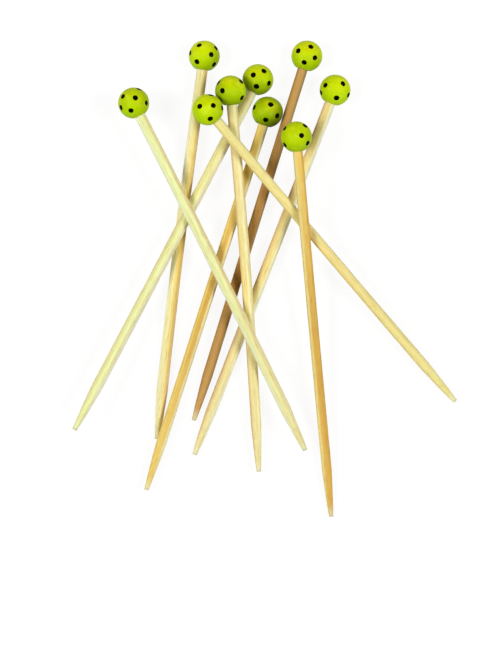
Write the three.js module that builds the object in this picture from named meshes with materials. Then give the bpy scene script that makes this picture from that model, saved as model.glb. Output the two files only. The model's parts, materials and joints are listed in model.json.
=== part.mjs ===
// Bamboo cocktail picks with a painted wooden bead, nine of them lying crossed on a flat surface.
// Units are millimetres, +Z is up, +X and +Y lie in the surface that the picks rest on.
// Every pick is three pieces: a split bamboo stick, a drilled wooden bead and the glue that sets
// in the drill's cone. The picks are laid one after another, and each comes down on what is
// already there, so their heights and tilts follow from their thickness.

import * as THREE from 'three';

// Driving dimensions: the bead
const beadDiameter = 10;
const boreDepth = 6;
const drillAngle = 118;
const mouthChamfer = 0.25;

// Driving dimensions: the stick
const shankLength = 110;
const stickThickness = 3.2;
const sectionPower = 3;
const pointLength = 15;
const pointEnd = 1.3;
const pointPower = 0.8;
const buttChamfer = 0.35;

// Driving dimensions: the fits
const glueLine = 0.2;
const restGap = 0.3;

// How finely the round forms are cut into facets
const beadSides = 28;
const beadArcSteps = 11;
const stickSides = 16;
const shankSteps = 6;
const pointSteps = 6;

// How many places along a pick are tried for what holds it up
const laySteps = 250;

// The picks from the lowest to the uppermost. Each is split and cut by hand, so it has a cut of
// its own, which is its shank's share of the shank length, and a bow of its own, which is how far
// it bends sideways as a share of its reach. Its bead's place on the surface is in bead diameters,
// because beads are what lie side by side there. The heading of its point is in degrees, 0 along
// -Y and positive towards +X, and so is the roll of its square section.
const picks = [
  { id: 2, bead: [-1.96, 7.16], heading: -7.05, cut: 1.004, roll: 40, bow: -0.005, wood: 'cream' },
  { id: 5, bead: [-0.23, 6.4], heading: -27.6, cut: 1.03, roll: 38, bow: 0.001, wood: 'pale' },
  { id: 8, bead: [2.26, 6.06], heading: -21.1, cut: 1.018, roll: 25, bow: 0, wood: 'cream' },
  { id: 7, bead: [1.35, 7.16], heading: -17.25, cut: 0.991, roll: 4, bow: -0.001, wood: 'brown' },
  { id: 6, bead: [0.08, 5.35], heading: -17.8, cut: 1.035, roll: 8, bow: 0, wood: 'golden' },
  { id: 3, bead: [-1.11, 6], heading: 4.25, cut: 0.99, roll: 15, bow: 0.005, wood: 'cream' },
  { id: 4, bead: [-1.84, 5.38], heading: 40.5, cut: 0.998, roll: 6, bow: -0.002, wood: 'pale' },
  { id: 9, bead: [1, 4.5], heading: 5.35, cut: 0.995, roll: 0, bow: -0.001, wood: 'golden' },
  { id: 1, bead: [-4.22, 5.61], heading: 26.3, cut: 1.003, roll: 36, bow: 0.003, wood: 'pale' },
];

// Sizes that follow from the driving dimensions
const beadRadius = beadDiameter / 2;
const halfThickness = stickThickness / 2;
const cornerRadius = halfThickness * Math.SQRT2 * 2 ** (-1 / sectionPower);
const boreRadius = cornerRadius + glueLine;
const boreEnd = boreDepth - beadRadius;
const coneHeight = boreRadius / Math.tan(THREE.MathUtils.degToRad(drillAngle / 2));
const buttEnd = boreEnd - glueLine;

// Materials, one for each finish
const paint = new THREE.MeshStandardMaterial({ color: 0xb9d312, roughness: 0.42, metalness: 0 });
const glue = new THREE.MeshStandardMaterial({ color: 0xe8dcae, roughness: 0.5, metalness: 0 });
const woods = {
  pale: new THREE.MeshStandardMaterial({ color: 0xece9a6, roughness: 0.62, metalness: 0 }),
  cream: new THREE.MeshStandardMaterial({ color: 0xe6d79a, roughness: 0.62, metalness: 0 }),
  golden: new THREE.MeshStandardMaterial({ color: 0xdfba66, roughness: 0.62, metalness: 0 }),
  brown: new THREE.MeshStandardMaterial({ color: 0xbd8b50, roughness: 0.62, metalness: 0 }),
};

// A solid revolved about Y from [radius, height] pairs that start and end at radius 0 and run up
// its outside
function revolve(profile, sides) {
  const points = profile.map(([radius, height]) => new THREE.Vector2(radius, height));
  return new THREE.LatheGeometry(points, sides);
}

// The bead: a ball about the origin, bored blind from below, its mouth broken with a small chamfer
function beadGeometry() {
  const lipRadius = boreRadius + mouthChamfer;
  const lipAngle = Math.asin(lipRadius / beadRadius);
  const lipHeight = -beadRadius * Math.cos(lipAngle);
  const profile = [
    [0, boreEnd + coneHeight],
    [boreRadius, boreEnd],
    [boreRadius, lipHeight + mouthChamfer],
  ];
  for (let i = 0; i <= beadArcSteps; i += 1) {
    const angle = lipAngle + (Math.PI - lipAngle) * (i / beadArcSteps);
    const radius = i === beadArcSteps ? 0 : beadRadius * Math.sin(angle);
    profile.push([radius, -beadRadius * Math.cos(angle)]);
  }
  return revolve(profile, beadSides);
}

// The glue that sets in the drill's cone, clear of the bore's wall and of the stick's butt
function glueGeometry() {
  const radius = boreRadius - glueLine;
  const shrink = glueLine / Math.sin(THREE.MathUtils.degToRad(drillAngle / 2));
  const apex = boreEnd + coneHeight - shrink;
  const shoulder = apex - radius / Math.tan(THREE.MathUtils.degToRad(drillAngle / 2));
  return revolve([[0, shoulder], [radius, shoulder], [0, apex]], stickSides);
}

// Half the stick's thickness at a distance from the bead's centre: full along the shank, then
// drawn down to the blunt end of the point
function halfThicknessAt(distance, reach) {
  const fromEnd = Math.max(reach - distance, 0) / pointLength;
  const blunt = pointEnd / 2;
  return blunt + (halfThickness - blunt) * Math.min(fromEnd, 1) ** pointPower;
}

// How far a pick reaches from its bead's centre to the end of its point
function reachOf(pick) {
  return shankLength * pick.cut + pointLength - buttEnd;
}

// Sideways place of the stick's centreline: straight at both ends and bowed by its bow midway
function bowAt(distance, pick) {
  const share = THREE.MathUtils.clamp(distance / pick.reach, 0, 1);
  return pick.bow * pick.reach * 4 * share * (1 - share);
}

// One ring of the stick: a rounded square of the given half thickness, turned by the pick's roll
function sectionRing(half, height, sideways, roll) {
  const ring = [];
  for (let i = 0; i < stickSides; i += 1) {
    const angle = ((i + 0.5) / stickSides) * 2 * Math.PI;
    const x = Math.cos(angle);
    const z = Math.sin(angle);
    const size = half / (Math.abs(x) ** sectionPower + Math.abs(z) ** sectionPower) ** (1 / sectionPower);
    const corner = new THREE.Vector2(x * size, z * size).rotateAround(new THREE.Vector2(), roll);
    ring.push(new THREE.Vector3(corner.x + sideways, height, corner.y));
  }
  return ring;
}

// A closed skin over rings of equal count, capped flat at both ends; the rings run down -Y
function skinRings(rings) {
  const sides = rings[0].length;
  const centre = (ring) => ring.reduce((sum, p) => sum.add(p), new THREE.Vector3()).divideScalar(sides);
  const points = [...rings.flat(), centre(rings[0]), centre(rings.at(-1))];
  const faces = [];
  for (let i = 0; i < sides; i += 1) {
    const next = (i + 1) % sides;
    for (let r = 0; r + 1 < rings.length; r += 1) {
      const near = r * sides;
      const far = near + sides;
      faces.push(near + i, near + next, far + i);
      faces.push(near + next, far + next, far + i);
    }
    const last = (rings.length - 1) * sides;
    faces.push(points.length - 2, next, i);
    faces.push(points.length - 1, last + i, last + next);
  }
  const geometry = new THREE.BufferGeometry().setFromPoints(points);
  geometry.setIndex(faces);
  geometry.computeVertexNormals();
  return geometry;
}

// The stick: chamfered butt, shank and drawn point, its axis along Y with the point downwards
function stickGeometry(pick) {
  const roll = THREE.MathUtils.degToRad(pick.roll);
  const shankEnd = pick.reach - pointLength;
  const rings = [sectionRing(halfThickness - buttChamfer, buttEnd, 0, roll)];
  const addRing = (distance) => {
    const half = halfThicknessAt(distance, pick.reach);
    rings.push(sectionRing(half, -distance, bowAt(distance, pick), roll));
  };
  for (let i = 0; i <= shankSteps; i += 1) {
    const share = i / shankSteps;
    addRing(THREE.MathUtils.lerp(buttChamfer - buttEnd, shankEnd, share));
  }
  for (let i = 1; i <= pointSteps; i += 1) {
    addRing(shankEnd + pointLength * (i / pointSteps));
  }
  return skinRings(rings);
}

// How high a stick's surface stands above its centreline where its section is turned by a roll
function halfHeightShare(roll) {
  const heights = sectionRing(1, 0, 0, roll).map((corner) => corner.z);
  return Math.max(...heights);
}

// The height that one centreline needs over another so that their surfaces keep the gap: full
// where they cross, less where they pass side by side, nothing where they are clear of each other
function clearHeight(reachBetween, sideways, power) {
  const spare = reachBetween ** power - sideways ** power;
  return spare > 0 ? spare ** (1 / power) : -Infinity;
}

// The nearest place on a laid pick to a point on the surface
function nearestOn(laid, place) {
  const along = place.clone().sub(laid.start).dot(laid.direction);
  const distance = THREE.MathUtils.clamp(along, 0, laid.reach);
  const foot = laid.start.clone().addScaledVector(laid.direction, distance);
  return { distance, sideways: foot.distanceTo(place), height: laid.height + laid.slope * distance };
}

// What holds a new pick up at a distance from its bead: the surface, and each pick laid before it
function supportAt(pick, direction, distance, laidPicks) {
  const place = pick.start.clone().addScaledVector(direction, distance);
  const share = halfHeightShare(THREE.MathUtils.degToRad(pick.roll));
  const isBead = distance === 0;
  const ownRadius = isBead ? beadRadius : halfThicknessAt(distance, pick.reach) * share;
  let height = ownRadius;
  for (const laid of laidPicks) {
    const beadSideways = laid.start.distanceTo(place);
    const overBead = clearHeight(ownRadius + beadRadius + restGap, beadSideways, 2);
    const near = nearestOn(laid, place);
    const laidRadius = halfThicknessAt(near.distance, laid.reach) * laid.share;
    const power = isBead ? 2 : sectionPower;
    const overStick = clearHeight(ownRadius + laidRadius + restGap, near.sideways, power);
    height = Math.max(height, laid.height + overBead, near.height + overStick);
  }
  return height;
}

// The pick's point of balance, as a distance from the bead's centre
function balanceDistance(reach) {
  const beadVolume = (4 / 3) * Math.PI * beadRadius ** 3;
  const shankVolume = stickThickness ** 2 * (reach - pointLength / 2);
  return (shankVolume * (reach - pointLength / 2)) / 2 / (shankVolume + beadVolume);
}

// Lays a pick down: it rests on the two supports on either side of its balance that hold it
// highest there, and clears all the others
function layPick(pick, laidPicks) {
  const heading = THREE.MathUtils.degToRad(pick.heading);
  const direction = new THREE.Vector2(Math.sin(heading), -Math.cos(heading));
  const balance = balanceDistance(pick.reach);
  const supports = [];
  for (let i = 0; i <= laySteps; i += 1) {
    const distance = pick.reach * (i / laySteps);
    supports.push({ distance, height: supportAt(pick, direction, distance, laidPicks) });
  }
  let best = { balanceHeight: -Infinity };
  for (const near of supports.filter((s) => s.distance <= balance)) {
    for (const far of supports.filter((s) => s.distance > balance)) {
      const slope = (far.height - near.height) / (far.distance - near.distance);
      const height = near.height - slope * near.distance;
      const balanceHeight = height + slope * balance;
      if (balanceHeight > best.balanceHeight) {
        best = { balanceHeight, height, slope };
      }
    }
  }
  return { ...pick, ...best, direction, share: halfHeightShare(THREE.MathUtils.degToRad(pick.roll)) };
}

// One pick as a group about its bead's centre, turned to its heading and tilt
function pickGroup(laid, beadShape, glueShape) {
  const tilted = new THREE.Vector3(laid.direction.x, laid.direction.y, laid.slope).normalize();
  const yAxis = tilted.clone().negate();
  const xAxis = yAxis.clone().cross(new THREE.Vector3(0, 0, 1)).normalize();
  const zAxis = xAxis.clone().cross(yAxis);
  const group = new THREE.Group();
  group.setRotationFromMatrix(new THREE.Matrix4().makeBasis(xAxis, yAxis, zAxis));
  group.position.set(laid.start.x, laid.start.y, laid.height);
  const pieces = [
    ['stick', stickGeometry(laid), woods[laid.wood]],
    ['bead', beadShape, paint],
    ['glue', glueShape, glue],
  ];
  for (const [name, geometry, material] of pieces) {
    const mesh = new THREE.Mesh(geometry, material);
    mesh.name = `${name}_${laid.id}`;
    group.add(mesh);
  }
  return group;
}

// The set: every pick laid in turn, then moved so that its origin is the middle of its footprint
function layAll() {
  const set = new THREE.Group();
  const beadShape = beadGeometry();
  const glueShape = glueGeometry();
  const laidPicks = [];
  for (const pick of picks) {
    const start = new THREE.Vector2(...pick.bead).multiplyScalar(beadDiameter);
    const laid = layPick({ ...pick, start, reach: reachOf(pick) }, laidPicks);
    laidPicks.push(laid);
    set.add(pickGroup(laid, beadShape, glueShape));
  }
  const box = new THREE.Box3().setFromObject(set, true);
  const centre = box.getCenter(new THREE.Vector3());
  set.position.set(-centre.x, -centre.y, -box.min.z);
  return set;
}

export default layAll();
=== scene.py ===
# %% [markdown]
# Ball-ended bamboo cocktail picks
#
# Nine party picks lie crossed on a white table, seen from straight above. Each is a split bamboo
# stick with a cut point, and a wooden bead in lime paint with black spots is glued on its butt.
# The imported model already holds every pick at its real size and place. This lesson dresses it:
# it sweeps the sticks, turns the beads and prints their spots, and gives each its finish.

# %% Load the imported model
import json
import math

import bpy
import numpy as np
from mathutils import Matrix, Vector


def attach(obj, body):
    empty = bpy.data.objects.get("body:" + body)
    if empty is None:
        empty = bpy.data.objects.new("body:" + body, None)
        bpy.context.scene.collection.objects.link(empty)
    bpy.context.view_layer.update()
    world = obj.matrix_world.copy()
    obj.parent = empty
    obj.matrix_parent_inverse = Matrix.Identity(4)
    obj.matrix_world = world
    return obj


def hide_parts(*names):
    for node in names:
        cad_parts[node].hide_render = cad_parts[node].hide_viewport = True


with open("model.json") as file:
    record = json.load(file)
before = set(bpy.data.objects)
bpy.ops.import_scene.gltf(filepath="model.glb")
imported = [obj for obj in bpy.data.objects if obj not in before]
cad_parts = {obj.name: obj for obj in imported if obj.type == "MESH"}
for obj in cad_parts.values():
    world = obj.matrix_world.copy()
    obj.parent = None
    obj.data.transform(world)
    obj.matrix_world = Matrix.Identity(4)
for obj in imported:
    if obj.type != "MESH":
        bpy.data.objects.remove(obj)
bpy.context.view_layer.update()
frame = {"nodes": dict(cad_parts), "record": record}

MM = 0.001

# %% [markdown]
# Where each pick lies
#
# No pick is placed by eye. Its mount says where its point ends and which way it points, and
# the far side of its bead's mesh then gives the bead's centre. A pick's own frame has its
# origin at the bead's centre, +Y out through the bead's top, -Y down the stick to the point, and
# +Z up, away from the table.

# %% Measure each pick from the model
NUMBERS = range(1, 10)
BEAD_RADIUS = 5.0 * MM
HALF_THICKNESS = 1.6 * MM
BUTT_END = 0.8 * MM
POINT_LENGTH = 15.0 * MM
POINT_END = 1.3 * MM
POINT_POWER = 0.8
RING_REACH = 0.1 * MM
MOUNTS = {mount["name"]: mount for mount in frame["record"]["mounts"]}


def node_points(name):
    """The corners of a model node as an array of points in metres."""
    mesh = frame["nodes"][name].data
    points = np.zeros(len(mesh.vertices) * 3)
    mesh.vertices.foreach_get("co", points)
    return points.reshape(-1, 3)


def measure_pick(number):
    """The pick's own frame as a matrix, its reach from bead centre to point, and its bow."""
    mount = MOUNTS[f"point_end_{number}"]
    end = np.array(mount["pos_m"])
    towards_point = np.array(mount["axis"])
    bead_top = (node_points(f"bead_{number}") @ towards_point).min()
    reach = end @ towards_point - bead_top - BEAD_RADIUS
    y_axis = Vector(-towards_point)
    x_axis = y_axis.cross(Vector((0, 0, 1))).normalized()
    z_axis = x_axis.cross(y_axis)
    place = Matrix((x_axis, y_axis, z_axis)).transposed().to_4x4()
    place.translation = Vector(end - towards_point * reach)
    from_bead = node_points(f"stick_{number}") - np.array(place.translation)
    local = from_bead @ np.array(place.to_3x3())
    from_middle = np.abs(local[:, 1] + reach / 2)
    ring = local[from_middle < from_middle.min() + RING_REACH]
    share = -ring[:, 1].mean() / reach
    sideways = (ring[:, 0].max() + ring[:, 0].min()) / 2
    return {"place": place, "reach": reach, "bow": sideways / (4 * share * (1 - share))}


PICKS = {number: measure_pick(number) for number in NUMBERS}
for number, pick in PICKS.items():
    print(f"pick {number}: reach {pick['reach'] / MM:.1f} mm, bow {pick['bow'] / MM:.2f} mm")

# %% [markdown]
# The camera
#
# The picks were photographed from straight above. A long lens from 1.5 m away keeps the lines
# straight and the beads round, and its frame is sized from the bead: 31 pixels for 10 mm. The
# middle of the frame lies to the left of the heap's own middle and below it.

# %% Set up the camera
PHOTO_HEIGHT = 647
BEAD_PIXELS = 31.0
CAMERA_HEIGHT = 1.5
FRAME_HEIGHT = PHOTO_HEIGHT * 2 * BEAD_RADIUS / BEAD_PIXELS
FRAME_CENTRE = Vector((-7.97, -14.38, 0)) * MM

camera_data = bpy.data.cameras.new("overhead_camera")
camera_data.sensor_width = 36
camera_data.lens = camera_data.sensor_width * (CAMERA_HEIGHT - BEAD_RADIUS) / FRAME_HEIGHT
camera_data.clip_end = 10
camera = bpy.data.objects.new("overhead_camera", camera_data)
camera.location = FRAME_CENTRE + Vector((0, 0, CAMERA_HEIGHT))
bpy.context.scene.collection.objects.link(camera)
bpy.context.scene.camera = camera
print(f"lens {camera_data.lens:.0f} mm, frame {FRAME_HEIGHT / MM:.0f} mm high")

# %% [markdown]
# Node trees written as sums
#
# A finish is a sum over the surface: how far along the fibre, how near a spot, how much stain.
# Blender spells such a sum as a web of Math nodes, which is hard to read. A small class wraps a
# node's output and overloads the operators, so that a sum in Python adds the nodes for it. Any
# other node comes from one method, which takes its type, its settings and its sockets' values.

# %% A socket that can be added and multiplied
class Value:
    """One output socket in a node tree. Arithmetic on it adds Math nodes to the tree."""

    def __init__(self, nodes, socket):
        self.nodes = nodes
        self.socket = socket

    def math(self, operation, *others, clamp=False):
        settings = {"operation": operation, "use_clamp": clamp}
        return self.nodes.add("ShaderNodeMath", settings, dict(enumerate((self, *others))))

    def __add__(self, other):
        return self.math("ADD", other)

    def __sub__(self, other):
        return self.math("SUBTRACT", other)

    def __mul__(self, other):
        return self.math("MULTIPLY", other)

    def __truediv__(self, other):
        return self.math("DIVIDE", other)

    def __pow__(self, other):
        return self.math("POWER", other)

    def __neg__(self):
        return self.math("MULTIPLY", -1)

    def __radd__(self, other):
        return self.math("ADD", other)

    def __rmul__(self, other):
        return self.math("MULTIPLY", other)

    def __rsub__(self, other):
        return self.nodes.number(other).math("SUBTRACT", self)

    def smooth(self, low, high):
        """0 below low and 1 above high, with a soft step between them."""
        settings = {"interpolation_type": "SMOOTHSTEP"}
        return self.nodes.add("ShaderNodeMapRange", settings, {0: self, 1: low, 2: high})

    def clamped(self):
        return self.math("ADD", 0, clamp=True)


class Nodes:
    """A node tree that is filled from Python."""

    def __init__(self, tree):
        self.tree = tree

    def add(self, kind, settings=None, sockets=None, output=0):
        """Adds a node, gives it its settings and then its sockets, and returns one output."""
        node = self.tree.nodes.new(kind)
        for name, value in (settings or {}).items():
            if name == "stops":
                self.set_stops(node.color_ramp, value)
            else:
                setattr(node, name, value)
        for name, value in (sockets or {}).items():
            socket = node.inputs[name]
            if isinstance(value, Value):
                self.tree.links.new(value.socket, socket)
            else:
                socket.default_value = value
        return Value(self, node.outputs[output]) if node.outputs else node

    def set_stops(self, ramp, stops):
        while len(ramp.elements) < len(stops):
            ramp.elements.new(0.5)
        for element, (place, tone) in zip(ramp.elements, stops):
            element.position = place
            element.color = tone

    def number(self, value):
        return self.add("ShaderNodeMath", {"operation": "ADD"}, {0: value, 1: 0})

    def split(self, vector):
        """The three coordinates of a vector."""
        first = self.add("ShaderNodeSeparateXYZ", None, {0: vector})
        outputs = first.socket.node.outputs
        return [Value(self, outputs[i]) for i in range(3)]

    def join(self, x, y, z):
        return self.add("ShaderNodeCombineXYZ", None, {0: x, 1: y, 2: z})

    def blend(self, amount, first, second):
        """A mix of two colours: the first at amount 0 and the second at amount 1."""
        sockets = {"Factor": amount, 6: first, 7: second}
        return self.add("ShaderNodeMix", {"data_type": "RGBA"}, sockets, output=2)

    def noise(self, vector, scale, detail=2.0, roughness=0.5):
        sockets = {"Vector": vector, "Scale": scale, "Detail": detail, "Roughness": roughness}
        return self.add("ShaderNodeTexNoise", None, sockets)


def colour(red, green, blue):
    """A colour as a picture's 0 to 255 values, turned into the linear light that shaders use."""
    def linear(part):
        part = part / 255
        return part / 12.92 if part <= 0.04045 else ((part + 0.055) / 1.055) ** 2.4

    return (linear(red), linear(green), linear(blue), 1.0)


def new_material(name):
    """An empty material with its node tree, and the Principled shader that it ends in."""
    material = bpy.data.materials.new(name)
    material.use_nodes = True
    nodes = Nodes(material.node_tree)
    shader = material.node_tree.nodes["Principled BSDF"]
    return material, nodes, shader


def feed(nodes, shader, **sockets):
    """Links or sets the shader's own sockets. A socket's name is written with underscores."""
    for name, value in sockets.items():
        socket = shader.inputs[name.replace("_", " ")]
        if isinstance(value, Value):
            nodes.tree.links.new(value.socket, socket)
        else:
            socket.default_value = value


print("node helpers are ready")

# %% [markdown]
# Split bamboo
#
# Bamboo is a bundle of straight fibres, so its colour runs in streaks along the stick: greenish
# white where the culm is young, straw and honey further out, brown near the rind. It could be
# drawn with a wave texture, but waves repeat. Noise stretched forty times along the fibre never
# repeats, so a broad one makes the bands, a fine one the fibres and a short one the dark flecks
# where a vessel lies open. A noise that is hardly stretched adds the blotches. The streaks follow
# the stick and not the table, so the material reads an attribute that each stick carries: the
# place in the stick's own frame, in millimetres.

# %% The tones of the wood
WOOD = {
    "pearl": colour(253, 254, 222),
    "mist": colour(248, 252, 208),
    "ivory": colour(240, 240, 200),
    "butter": colour(252, 246, 190),
    "sap": colour(243, 250, 178),
    "cream": colour(243, 233, 168),
    "flax": colour(241, 233, 152),
    "straw": colour(242, 225, 148),
    "honey": colour(242, 213, 114),
    "gold": colour(228, 184, 84),
    "ochre": colour(216, 172, 76),
    "peach": colour(234, 204, 146),
    "tan": colour(204, 160, 88),
    "hazel": colour(184, 140, 72),
    "drab": colour(168, 138, 82),
    "chestnut": colour(168, 122, 56),
    "ash": colour(190, 190, 160),
}
print("tones of the wood:", ", ".join(WOOD))

# %% The sizes of the grain
# How far from the middle of the stick a flank's tone starts and is full, in millimetres.
FLANK_START, FLANK_FULL = 0.35, 1.25
FIBRE_STRETCH = 40
BAND_SCALE = 0.55
FIBRE_SCALE = 3.2
FLECK_SCALE = 8.0
BLOTCH_WIDTH = 2
BLOTCH_LENGTH = 3.0
# The line between two tones wanders sideways by this much, over this length.
WANDER = 0.6
WANDER_LENGTH = 14
FIBRE_RELIEF = 0.05 * MM
print(f"a flank's tone is full {FLANK_FULL} mm from the middle of the stick")

# %% The bamboo's finish
def bamboo(name, reach, left, middle, right):
    """Split bamboo with one tone on each flank, and a few along its middle from bead to point.

    Left and right are as seen from above with the point down. The last few millimetres before
    the point's end are paler, and the end itself is a little grey.
    """
    material, nodes, shader = new_material(name)
    fibre = nodes.add("ShaderNodeAttribute", {"attribute_name": "fibre"}, output=1)
    across, along, depth = nodes.split(fibre)
    down = -along / (reach / MM)
    to_go = along + reach / MM

    def along_stick(tones):
        names = tones.split()
        stops = [(index / (len(names) - 1), WOOD[tone]) for index, tone in enumerate(names)]
        return nodes.add("ShaderNodeValToRGB", {"stops": stops}, {0: down})

    def darken(amount, base, tint):
        settings = {"data_type": "RGBA", "blend_type": "MULTIPLY"}
        return nodes.add("ShaderNodeMix", settings, {"Factor": amount, 6: base, 7: tint}, output=2)

    streak_place = nodes.join(across, along / FIBRE_STRETCH, depth)
    broad = nodes.noise(streak_place, BAND_SCALE, detail=1.0)
    fine = nodes.noise(streak_place, FIBRE_SCALE, detail=3.0, roughness=0.65)
    fleck = nodes.noise(streak_place, FLECK_SCALE, detail=0.0)
    blotch_place = nodes.join(across / BLOTCH_WIDTH, along / BLOTCH_LENGTH, depth / BLOTCH_WIDTH)
    blotch = nodes.noise(blotch_place, 1.0, roughness=0.7)
    wander = (nodes.noise(nodes.join(0, along / WANDER_LENGTH, 0), 1.0) - 0.5) * WANDER
    side = across + wander
    # The flank tones are partly the wood's own tone and partly painted light on the flanks.
    on_left = (-side).smooth(FLANK_START, FLANK_FULL)
    on_right = side.smooth(FLANK_START, FLANK_FULL)
    left_done = nodes.blend(on_left, along_stick(middle), WOOD[left])
    base = nodes.blend(on_right, left_done, WOOD[right])
    banded = darken(broad.smooth(0.5, 0.75) * 0.4, base, colour(232, 212, 170))
    blotched = darken(blotch.smooth(0.4, 0.65) * 0.5, banded, colour(252, 247, 224))
    honeyed = darken(fine.smooth(0.48, 0.75) * 0.4, blotched, colour(222, 188, 128))
    flecked = darken(fleck.smooth(0.66, 0.75) * 0.4, honeyed, colour(170, 120, 70))
    pale = nodes.blend((1 - to_go.smooth(0.5, 5.0)) * 0.45, flecked, WOOD["ivory"])
    weathered = nodes.blend((1 - to_go.smooth(0.2, 0.9)) * 0.5, pale, WOOD["ash"])
    relief = nodes.add("ShaderNodeBump", None,
                       {"Strength": 0.25, "Distance": FIBRE_RELIEF, "Height": fine})
    feed(nodes, shader, Base_Color=weathered, Roughness=0.5 + 0.25 * fine, Normal=relief)
    shader.inputs["Specular IOR Level"].default_value = 0.3
    return material


# %% [markdown]
# Nine woods
#
# Every stick is split from another part of the culm, so each has its own tones. They could be
# drawn at random, but then the dark pick would not be the dark pick of the real heap. So each
# stick is given one tone for each flank and three for its middle: by the bead, half-way and by
# the point. The pale flank tones are partly the wood's own and partly painted light that keeps
# the flanks bright, and the dark middle of stick 7 is partly its own brown and partly painted
# shade where other picks cross it. The streaks, bands and blotches of the finish do the rest.

# %% Name the tones of each stick
# Pale flank tones are partly the wood's own and partly painted light on the flanks.
STICK_TONES = {
    1: dict(left="mist", middle="sap sap cream", right="butter"),
    2: dict(left="butter", middle="cream honey cream", right="peach"),
    3: dict(left="peach", middle="cream straw cream", right="butter"),
    4: dict(left="straw", middle="flax straw flax", right="cream"),
    5: dict(left="cream", middle="straw sap sap", right="pearl"),
    6: dict(left="honey", middle="honey ochre honey", right="butter"),
    # Stick 7's dark middle is partly its own brown, partly painted shade under the picks on it.
    7: dict(left="hazel", middle="tan chestnut tan", right="drab"),
    8: dict(left="peach", middle="straw straw cream", right="pearl"),
    9: dict(left="straw", middle="honey ochre gold", right="gold"),
}
BAMBOO = {}
for number, tones in STICK_TONES.items():
    BAMBOO[number] = bamboo(f"bamboo_{number}", PICKS[number]["reach"], **tones)
print("bamboo finishes:", len(BAMBOO), "from", len(WOOD), "tones")

# %% [markdown]
# The sticks
#
# A stick is split square, tumbled until its corners are round, and drawn to a point by a cutter.
# That is one section swept along one line, so Geometry Nodes sweep it: Curve to Mesh carries a
# filleted square down a line and scales it by a rule, full along the shank and drawn in over the
# point. Modelling nine sticks by hand would give nine meshes to mend when the thickness changes.

# %% The stick's node tree
CORNER_FILLET = 1.1 * MM
FILLET_STEPS = 6
SECTION_POINTS = 56
SWEEP_STEPS = 240
USUAL_REACH = 125.0 * MM
STICK_UNEVENNESS = 0.05 * MM
GRAIN_LENGTH = 18
GRAIN_SCALE = 0.9
# A face whose normal leans along the stick by more than this is an end, and stays flat.
END_FACING = 0.9


def new_tree(name, inputs):
    """An empty geometry tree with the named inputs, as (tree, nodes, a function that gives one)."""
    tree = bpy.data.node_groups.new(name, "GeometryNodeTree")
    for label, kind, default in inputs:
        socket = tree.interface.new_socket(label, in_out="INPUT", socket_type=f"NodeSocket{kind}")
        if default is not None:
            socket.default_value = default
    tree.interface.new_socket("Geometry", in_out="OUTPUT", socket_type="NodeSocketGeometry")
    nodes = Nodes(tree)
    group_input = tree.nodes.new("NodeGroupInput")
    return tree, nodes, lambda label: Value(nodes, group_input.outputs[label])


def end_tree(nodes, geometry, material):
    """Ends a tree: instances made real, the material set, and the result sent out."""
    real = nodes.add("GeometryNodeRealizeInstances", None, {0: geometry})
    painted = nodes.add("GeometryNodeSetMaterial", None, {0: real, "Material": material})
    output = nodes.tree.nodes.new("NodeGroupOutput")
    nodes.tree.links.new(painted.socket, output.inputs[0])


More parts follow.
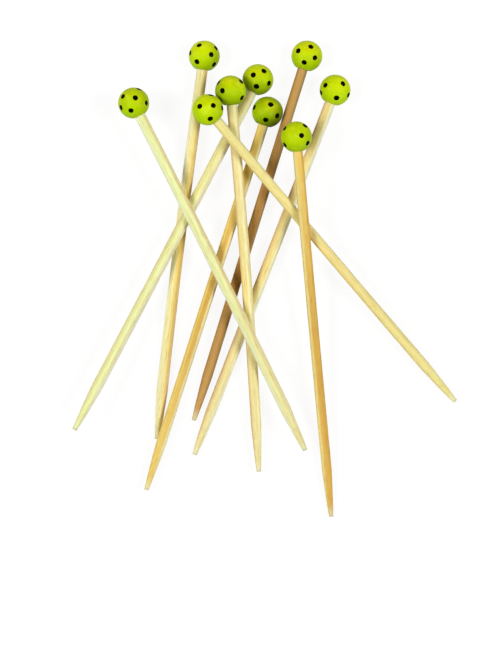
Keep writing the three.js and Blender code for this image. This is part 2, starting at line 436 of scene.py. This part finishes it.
def split_stick_tree():
    tree, nodes, given = new_tree("split_stick", [
        ("Butt End", "Float", BUTT_END),
        ("Reach", "Float", USUAL_REACH),
        ("Half Thickness", "Float", HALF_THICKNESS),
        ("Corner Fillet", "Float", CORNER_FILLET),
        ("Point Length", "Float", POINT_LENGTH),
        ("Point End", "Float", POINT_END),
        ("Bow", "Float", 0.0),
        ("Roll", "Float", 0.0),
        ("Unevenness", "Float", STICK_UNEVENNESS),
        ("Seed", "Float", 0.0),
        ("Material", "Material", None),
    ])
    butt, reach, half = given("Butt End"), given("Reach"), given("Half Thickness")
    line = nodes.add("GeometryNodeCurvePrimitiveLine", None,
                     {"Start": nodes.join(0, butt, 0), "End": nodes.join(0, -reach, 0)})
    steps = nodes.add("GeometryNodeResampleCurve", None, {"Curve": line, "Count": SWEEP_STEPS})
    position = nodes.add("GeometryNodeInputPosition")
    distance = -nodes.split(position)[1]
    share = (distance / reach).clamped()
    bow = given("Bow") * 4 * share * (1 - share)
    bent = nodes.add("GeometryNodeSetPosition", None, {0: steps, "Offset": nodes.join(bow, 0, 0)})
    level = nodes.add("GeometryNodeSetCurveNormal", {"mode": "Z_UP"}, {0: bent})
    blunt = given("Point End") / 2
    from_end = ((reach - distance) / given("Point Length")).clamped()
    half_there = blunt + (half - blunt) * from_end ** POINT_POWER
    square = nodes.add("GeometryNodeCurvePrimitiveQuadrilateral", None, {0: half * 2, 1: half * 2})
    rounded = nodes.add("GeometryNodeFilletCurve", {"mode": "POLY"},
                        {0: square, "Count": FILLET_STEPS, "Radius": given("Corner Fillet")})
    even = nodes.add("GeometryNodeResampleCurve", None, {"Curve": rounded, "Count": SECTION_POINTS})
    turned = nodes.add("GeometryNodeTransform", None,
                       {0: even, "Rotation": nodes.join(0, 0, given("Roll"))})
    swept = nodes.add("GeometryNodeCurveToMesh", None,
                      {0: level, 1: turned, "Scale": half_there / half, "Fill Caps": True})
    in_mm = nodes.add("ShaderNodeVectorMath", {"operation": "SCALE"},
                      {0: position, "Scale": 1 / MM})
    marked = nodes.add("GeometryNodeStoreNamedAttribute", {"data_type": "FLOAT_VECTOR"},
                       {0: swept, "Name": "fibre", "Value": in_mm})
    x, y, z = nodes.split(in_mm)
    grain = nodes.noise(nodes.join(x, y / GRAIN_LENGTH + given("Seed"), z), GRAIN_SCALE)
    normal = nodes.add("GeometryNodeInputNormal")
    lift = nodes.add("ShaderNodeVectorMath", {"operation": "SCALE"},
                     {0: normal, "Scale": (grain - 0.5) * 2 * given("Unevenness")})
    uneven = nodes.add("GeometryNodeSetPosition", None, {0: marked, "Offset": lift})
    is_side = nodes.split(normal)[1].math("ABSOLUTE").math("LESS_THAN", END_FACING)
    smooth = nodes.add("GeometryNodeSetShadeSmooth", None, {0: uneven, "Shade Smooth": is_side})
    end_tree(nodes, smooth, given("Material"))
    return tree


def run_tree(tree, name, mesh, place, **inputs):
    """Runs a tree on a mesh and keeps its result as a plain mesh object, moved to its place."""
    maker = bpy.data.objects.new(name + "_maker", mesh)
    bpy.context.scene.collection.objects.link(maker)
    modifier = maker.modifiers.new("tree", "NODES")
    modifier.node_group = tree
    sockets = {item.name: item.identifier for item in tree.interface.items_tree
               if item.in_out == "INPUT"}
    for label, value in inputs.items():
        modifier[sockets[label.replace("_", " ")]] = value
    depsgraph = bpy.context.evaluated_depsgraph_get()
    made = bpy.data.meshes.new_from_object(maker.evaluated_get(depsgraph))
    bpy.data.objects.remove(maker)
    made.transform(place)
    piece = bpy.data.objects.new(name, made)
    bpy.context.scene.collection.objects.link(piece)
    return piece


STICK_TREE = split_stick_tree()
print("the stick's tree has", len(STICK_TREE.nodes), "nodes")

# %% Sweep the sticks
# How far each stick is turned about its own length, in degrees.
STICK_ROLLS = {1: 36, 2: 40, 3: 15, 4: 6, 5: 38, 6: 8, 7: 4, 8: 25, 9: 0}
SEED_STEP = 7.3
for number, pick in PICKS.items():
    stick = run_tree(
        STICK_TREE, f"bamboo_stick_{number}", bpy.data.meshes.new("blank"), pick["place"],
        Reach=pick["reach"], Bow=pick["bow"], Roll=math.radians(STICK_ROLLS[number]),
        Seed=number * SEED_STEP, Material=BAMBOO[number])
    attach(stick, f"pick_{number}")
    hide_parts(f"stick_{number}")
print("sticks swept:", len(PICKS), "with", len(stick.data.vertices), "points each")

# %% [markdown]
# Painted beads
#
# The bead is a turned ball with a drilled hole, in lime paint with a low gloss. The paint is
# uneven: thin and dark in one place, full and bright in another. Its small pale specks are
# painted highlights, and each bead is darker on one side with painted shade. A plain sphere
# would do from afar, but the drill's mouth shows where the stick goes in, so the bead is turned
# like the real one: a profile with the hole, the rounded mouth and the ball, revolved about the
# pick's axis.

# %% The bead's paint
DEEP_LIME = colour(166, 187, 0)
FULL_LIME = colour(218, 236, 2)
WARM_LIME = colour(226, 222, 6)
BRIGHT_LIME = colour(226, 246, 4)
SHADE_GREEN_LIME = colour(150, 222, 0)
SHADED_LIME = colour(104, 122, 0)
# Pale specks that stand for glints: painted highlights.
SPECK_HIGHLIGHT_LIME = colour(240, 248, 70)
# How full each bead's coat is; bead 6's dark coat is painted shade from the picks round it.
PAINT_BODY_AND_SHADE = {1: 0.62, 2: 1.0, 3: 0.6, 4: 0.82, 5: 0.75, 6: 0.0, 7: 0.85, 8: 0.9, 9: 0.62}
# Each bead's side of painted shade: a direction, then how deep the painted shade is.
BEAD_SHADE_SIDE = {
    1: (0.9, -0.2, -0.3, 0.2), 2: (0.65, -0.7, -0.4, 0.5), 3: (-0.45, -0.75, -0.4, 0.65),
    4: (0.9, 0.1, -0.3, 0.15), 5: (-0.35, -0.85, -0.3, 0.7), 6: (0.5, -0.8, -0.4, 1.0),
    7: (0, -0.9, -0.3, 0.3), 8: (-0.8, -0.2, -0.3, 0.15), 9: (0.5, -0.8, -0.3, 0.2),
}
# How much greener and darker each bead is towards -Y: painted shade, as if more light fell from +Y.
MINUS_Y_SHADE = 0.45
CLOUD_SCALE = 300.0
DRIFT_SCALE = 170.0
HIGHLIGHT_SPECK_SCALE = 620.0
GRIT_SCALE = 1400.0
GRIT_RELIEF = 0.05 * MM


def bead_paint(number, body, shade_side):
    """Lime paint: body is 0 for a thin dark coat and 1 for a full bright one.

    On bead 6 the low body is painted shade. The shade side says on which side a bead is darker,
    as a direction, and by how much: painted shade where the picks and beads round it shade it
    and where less light falls. Towards -Y, where the points of the picks lie, the paint of every
    bead is greener and darker: painted shade, as if more light fell from +Y.
    """
    material, nodes, shader = new_material(f"lime_paint_{number}")
    place = nodes.add("ShaderNodeTexCoord", output=3)
    cloud = nodes.noise(place, CLOUD_SCALE, detail=4.0, roughness=0.72)
    drift = nodes.noise(place, DRIFT_SCALE, detail=1.0)
    highlight_speck = nodes.noise(place, HIGHLIGHT_SPECK_SCALE, detail=1.0)
    grit = nodes.noise(place, GRIT_SCALE, detail=2.0)
    coat = (body + (cloud - 0.5) * 1.3).clamped()
    lime = nodes.blend(coat, DEEP_LIME, FULL_LIME)
    warm = nodes.blend(drift.smooth(0.48, 0.68) * 0.5, lime, WARM_LIME)
    thick = (1 - drift.smooth(0.3, 0.45)) * cloud.smooth(0.4, 0.6)
    bright = nodes.blend(thick * 0.5, warm, BRIGHT_LIME)
    # Painted highlights: pale specks scattered at random over the paint.
    speckled_with_highlights = nodes.blend(highlight_speck.smooth(0.58, 0.74) * 0.5, bright, SPECK_HIGHLIGHT_LIME)
    centre = PICKS[number]["place"].translation
    outwards = nodes.add("ShaderNodeVectorMath", {"operation": "SUBTRACT"}, {0: place, 1: centre})
    toward_shade = nodes.add("ShaderNodeVectorMath", {"operation": "DOT_PRODUCT"},
                     {0: outwards, 1: Vector(shade_side[:3]).normalized() / BEAD_RADIUS}, output=1)
    # Painted shade: every bead is greener and darker towards -Y.
    below = -nodes.split(outwards)[1] / BEAD_RADIUS
    minus_y_shaded = nodes.blend(below.smooth(-0.9, 0.9) * MINUS_Y_SHADE, speckled_with_highlights, SHADE_GREEN_LIME)
    # Painted shade: the bead is darker on the side that its neighbours shade.
    shaded = nodes.blend(toward_shade.smooth(-0.75, 0.6) * shade_side[3], minus_y_shaded, SHADED_LIME)
    relief = nodes.add("ShaderNodeBump", None,
                       {"Strength": 0.12, "Distance": GRIT_RELIEF, "Height": grit})
    feed(nodes, shader, Base_Color=shaded, Roughness=0.4 + 0.12 * cloud, Normal=relief)
    shader.inputs["Specular IOR Level"].default_value = 0.05
    return material


PAINT = {number: bead_paint(number, body, BEAD_SHADE_SIDE[number])
         for number, body in PAINT_BODY_AND_SHADE.items()}
print("paints:", len(PAINT))

# %% Turn the beads
BORE_RADIUS = 2.0 * MM
BORE_END = 1.0 * MM
CONE_HEIGHT = 1.2 * MM
MOUTH_ROUND = 0.3 * MM
BEAD_SIDES = 112
BEAD_ARC_STEPS = 72
MOUTH_STEPS = 6


def bead_profile():
    """The bead's outline as (radius, height) pairs, from the drill's cone to the top."""
    lip_radius = BORE_RADIUS + MOUTH_ROUND
    lip_angle = math.asin(lip_radius / BEAD_RADIUS)
    lip_height = -BEAD_RADIUS * math.cos(lip_angle)
    profile = [(0, BORE_END + CONE_HEIGHT), (BORE_RADIUS, BORE_END)]
    for step in range(MOUTH_STEPS):
        turn = math.pi / 2 * step / MOUTH_STEPS
        profile.append((lip_radius - MOUTH_ROUND * math.cos(turn),
                        lip_height + MOUTH_ROUND * (1 - math.sin(turn))))
    for step in range(BEAD_ARC_STEPS):
        angle = lip_angle + (math.pi - lip_angle) * step / BEAD_ARC_STEPS
        profile.append((BEAD_RADIUS * math.sin(angle), -BEAD_RADIUS * math.cos(angle)))
    return profile + [(0, BEAD_RADIUS)]


def revolve(name, profile, sides, material, place):
    """A closed mesh turned about Y from a profile that starts and ends on the axis."""
    points = [(0, profile[0][1], 0)]
    for radius, height in profile[1:-1]:
        for side in range(sides):
            angle = 2 * math.pi * side / sides
            points.append((radius * math.cos(angle), height, radius * math.sin(angle)))
    points.append((0, profile[-1][1], 0))
    rings = len(profile) - 2
    faces = []
    for side in range(sides):
        after = (side + 1) % sides
        faces.append((0, 1 + side, 1 + after))
        for ring in range(rings - 1):
            low, high = 1 + ring * sides, 1 + (ring + 1) * sides
            faces.append((low + side, high + side, high + after, low + after))
        last = 1 + (rings - 1) * sides
        faces.append((len(points) - 1, last + after, last + side))
    mesh = bpy.data.meshes.new(name)
    mesh.from_pydata(points, [], faces)
    mesh.materials.append(material)
    mesh.transform(place)
    mesh.shade_smooth()
    piece = bpy.data.objects.new(name, mesh)
    bpy.context.scene.collection.objects.link(piece)
    return piece


for number, pick in PICKS.items():
    bead = revolve(
        f"painted_bead_{number}", bead_profile(), BEAD_SIDES, PAINT[number], pick["place"])
    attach(bead, f"pick_{number}")
    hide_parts(f"bead_{number}")
print("beads turned:", len(PICKS), "with", len(bead.data.polygons), "faces each")

# %% [markdown]
# Printed spots
#
# The spots are dabs of black ink that stand a hair proud of the paint. They could be painted by a
# shader, but as thin caps they keep their crisp rim at any distance. Geometry Nodes print them:
# a flat disc is instanced on each place, turned to face outwards, and bent onto the ball.
# The upper spots are listed where they lie on the real beads, as seen from above. On the side
# that lies on the table no one can see them, so a rule fills it at the same spacing.

# %% The places of the spots
SPOTS_FROM_ABOVE = {
    1: [(-3.4, 2.0), (0.65, 1.45), (4.2, -0.1), (-0.8, -2.65), (-4.05, -1.6), (1.8, 4.4)],
    2: [(-1.6, 3.3), (2.3, 0.25), (-2.35, -2.05), (-4.55, 0.9), (3.8, 2.5), (3.2, -2.9)],
    3: [(-2.65, -0.1), (3.4, 3.0), (3.7, -2.3), (-3.9, 2.7), (-3.45, -3.0)],
    4: [(-2.55, 0.95), (1.85, 1.15), (0.85, -3.1), (1.0, 4.65), (4.7, 0.5), (-4.0, -3.0)],
    5: [(-1.5, 1.3), (1.95, 2.6), (3.6, -1.35), (-0.5, -2.45)],
    6: [(1.0, 2.25), (3.15, -1.4), (-0.6, -2.7), (-4.3, 1.45)],
    7: [(-2.9, 1.5), (1.25, 2.8), (2.55, -0.8), (-0.95, -2.3)],
    8: [(-3.25, 1.4), (2.5, 1.9), (0.4, -2.75), (-4.6, -0.9), (4.3, -1.7)],
    9: [(-3.8, 2.7), (1.6, 0.3), (2.75, 3.55), (-3.75, -2.65), (3.6, -2.1)],
}
SPOT_SPACING = math.radians(50)
LOW_TRIES = 400
LOWEST_SEEN = -0.22


def spot_directions(number):
    """Directions from the bead's centre to its spots, in the table's frame."""
    found = []
    for x, y in SPOTS_FROM_ABOVE[number]:
        flat = Vector((x, y)) * MM / BEAD_RADIUS
        height = math.sqrt(max(1 - flat.length_squared, 0))
        found.append(Vector((flat.x, flat.y, height)).normalized())
    stick = -PICKS[number]["place"].to_3x3().col[1]
    taken = [*found, stick]
    for step in range(LOW_TRIES):
        height = LOWEST_SEEN - (1 + LOWEST_SEEN) * step / LOW_TRIES
        angle = step * math.pi * (3 - math.sqrt(5)) + number
        radius = math.sqrt(1 - height * height)
        trial = Vector((radius * math.cos(angle), radius * math.sin(angle), height))
        if all(trial.angle(other) > SPOT_SPACING for other in taken):
            taken.append(trial)
            found.append(trial)
    return found


SPOTS = {number: spot_directions(number) for number in NUMBERS}
print("spots on each bead:", [len(spots) for spots in SPOTS.values()])

# %% Print the spots
SPOT_RADIUS = 0.895 * MM
SPOT_SPREAD = 0.05
SPOT_RAGGEDNESS = 0.07 * MM
SPOT_SIDES = 28
SPOT_RINGS = 5
INK_THICKNESS = 0.04 * MM
INK_SCALE = 900.0
WOBBLE_SCALE = 900.0


def black_ink():
    material, nodes, shader = new_material("black_ink")
    place = nodes.add("ShaderNodeTexCoord", output=3)
    cloud = nodes.noise(place, INK_SCALE)
    tone = nodes.blend(cloud.smooth(0.4, 0.75), colour(2, 3, 0), colour(14, 16, 2))
    feed(nodes, shader, Base_Color=tone, Roughness=0.45 + 0.2 * cloud)
    shader.inputs["Specular IOR Level"].default_value = 0.03
    return material


def printed_spots_tree():
    tree, nodes, given = new_tree("printed_spots", [
        ("Places", "Geometry", None),
        ("Bead Radius", "Float", BEAD_RADIUS),
        ("Spot Radius", "Float", SPOT_RADIUS),
        ("Ink Thickness", "Float", INK_THICKNESS),
        ("Size Spread", "Float", SPOT_SPREAD),
        ("Raggedness", "Float", SPOT_RAGGEDNESS),
        ("Seed", "Int", 0),
        ("Material", "Material", None),
    ])
    disc = nodes.add("GeometryNodeMeshCylinder", {"fill_type": "TRIANGLE_FAN"},
                     {"Vertices": SPOT_SIDES, "Side Segments": 1, "Fill Segments": SPOT_RINGS,
                      "Radius": given("Spot Radius"), "Depth": given("Ink Thickness")})
    position = nodes.add("GeometryNodeInputPosition")
    lifted = nodes.add("GeometryNodeStoreNamedAttribute", {"data_type": "FLOAT"},
                       {0: disc, "Name": "lift", "Value": nodes.split(position)[2]})
    outwards = nodes.add("FunctionNodeAlignRotationToVector", {"axis": "Z"}, {"Vector": position})
    spread = given("Size Spread")
    size = nodes.add("FunctionNodeRandomValue", {"data_type": "FLOAT"},
                     {2: 1 - spread, 3: 1 + spread, "Seed": given("Seed")}, output=1)
    dabs = nodes.add("GeometryNodeInstanceOnPoints", None,
                     {0: given("Places"), "Instance": lifted, "Rotation": outwards,
                      "Scale": nodes.join(size, size, 1)})
    real = nodes.add("GeometryNodeRealizeInstances", None, {0: dabs})
    wobble = nodes.add("ShaderNodeTexNoise", {"noise_dimensions": "4D"},
                       {"Vector": position, "W": given("Seed"), "Scale": WOBBLE_SCALE}, output=1)
    centred = nodes.add("ShaderNodeVectorMath", {"operation": "SUBTRACT"},
                        {0: wobble, 1: (0.5, 0.5, 0.5)})
    ragged = nodes.add("ShaderNodeVectorMath", {"operation": "SCALE"},
                       {0: centred, "Scale": given("Raggedness") * 4})
    moved = nodes.add("ShaderNodeVectorMath", {"operation": "ADD"}, {0: position, 1: ragged})
    outward = nodes.add("ShaderNodeVectorMath", {"operation": "NORMALIZE"}, {0: moved})
    lift = nodes.add("GeometryNodeInputNamedAttribute", {"data_type": "FLOAT"}, {"Name": "lift"})
    onto = nodes.add("ShaderNodeVectorMath", {"operation": "SCALE"},
                     {0: outward, "Scale": given("Bead Radius") + lift})
    bent = nodes.add("GeometryNodeSetPosition", None, {0: real, "Position": onto})
    end_tree(nodes, bent, given("Material"))
    return tree


SPOT_TREE = printed_spots_tree()
BLACK_INK = black_ink()
for number, pick in PICKS.items():
    turn_back = pick["place"].to_3x3().transposed()
    places = bpy.data.meshes.new("places")
    places.from_pydata([turn_back @ spot * BEAD_RADIUS for spot in SPOTS[number]], [], [])
    spots = run_tree(SPOT_TREE, f"ink_spots_{number}", places, pick["place"],
                     Seed=number, Material=BLACK_INK)
    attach(spots, f"pick_{number}")
print("spots printed:", sum(len(found) for found in SPOTS.values()))

# %% [markdown]
# The glue
#
# The glue in the drill's cone is sealed inside the bead. It stays as the model has it, and it
# gets the cloudy cream of dried wood glue for anyone who cuts a bead open.

# %% The glue's finish
def dried_glue():
    material, nodes, shader = new_material("dried_glue")
    place = nodes.add("ShaderNodeTexCoord", output=3)
    cloud = nodes.noise(place, 1500.0)
    tone = nodes.blend(cloud.smooth(0.3, 0.7), colour(226, 212, 160), colour(244, 236, 200))
    feed(nodes, shader, Base_Color=tone, Roughness=0.35 + 0.2 * cloud)
    return material


DRIED_GLUE = dried_glue()
for number in NUMBERS:
    node = frame["nodes"][f"glue_{number}"]
    node.data.materials.clear()
    node.data.materials.append(DRIED_GLUE)
print("glue finished")

# %% [markdown]
# Table and light
#
# The table is a plain white sheet, with a broad soft lamp high on either side of it. Each pick
# that crosses another throws a soft shadow to both sides, and the beads shade evenly towards
# their rims. A pale sky and the light off the table fill the rest. The shadows of nine picks
# would grey the whole sheet, which should read as clean white paper. So where the camera looks,
# most of the white is a steady glow, and a tenth of it is lit and keeps a faint shadow.

# %% Lay the table and light it
TABLE_BOUNCE = 0.84
TABLE_SEEN = 0.1
TABLE_LIFT = 0.91


def grey(level):
    return (level, level, level, 1.0)


def table_material():
    """Matt paper. Light bounces off it as off white paper, and where the camera or a reflection
    sees it, most of its white is a steady glow, so that it reads white and keeps a soft shadow."""
    material, nodes, shader = new_material("white_table")
    paths = nodes.tree.nodes.new("ShaderNodeLightPath")
    by_camera = Value(nodes, paths.outputs["Is Camera Ray"])
    by_gloss = Value(nodes, paths.outputs["Is Glossy Ray"])
    seen = by_camera.math("MAXIMUM", by_gloss)
    lift = nodes.blend(seen, grey(0), grey(TABLE_LIFT))
    paper = nodes.blend(seen, grey(TABLE_BOUNCE), grey(TABLE_SEEN))
    feed(nodes, shader, Base_Color=paper, Roughness=0.9, Emission_Color=lift)
    shader.inputs["Emission Strength"].default_value = 1.0
    shader.inputs["Specular IOR Level"].default_value = 0.1
    return material


TABLE_SIZE = 3.0
table_mesh = bpy.data.meshes.new("table")
half = TABLE_SIZE / 2
table_mesh.from_pydata([(-half, -half, 0), (half, -half, 0), (half, half, 0), (-half, half, 0)],
                       [], [(0, 1, 2, 3)])
table_mesh.materials.append(table_material())
table = bpy.data.objects.new("table", table_mesh)
bpy.context.scene.collection.objects.link(table)

SKY_LEVEL = 0.14
LAMP_LEVEL = 0.46
LAMP_ASIDE = 0.7
LAMP_HEIGHT = 1.0
LAMP_SIZE = 0.4
world = bpy.data.worlds.new("studio")
world.use_nodes = True
world.node_tree.nodes["Background"].inputs["Color"].default_value = (1, 1, 1, 1)
world.node_tree.nodes["Background"].inputs["Strength"].default_value = SKY_LEVEL
bpy.context.scene.world = world


def soft_lamp(name, place, size, level):
    """A square lamp that looks at the middle of the table and lights it to the level given.

    At level 1 a matt white sheet there would be exactly white.
    """
    place = Vector(place)
    data = bpy.data.lights.new(name, "AREA")
    data.size = size
    data.energy = level * math.pi ** 2 * place.length ** 3 / place.z
    lamp = bpy.data.objects.new(name, data)
    lamp.location = place
    lamp.rotation_euler = (-place).to_track_quat("-Z", "Y").to_euler()
    bpy.context.scene.collection.objects.link(lamp)


soft_lamp("left_lamp", (-LAMP_ASIDE, 0, LAMP_HEIGHT), LAMP_SIZE, LAMP_LEVEL)
soft_lamp("right_lamp", (LAMP_ASIDE, 0, LAMP_HEIGHT), LAMP_SIZE, LAMP_LEVEL)
bpy.context.scene.view_settings.view_transform = "Standard"
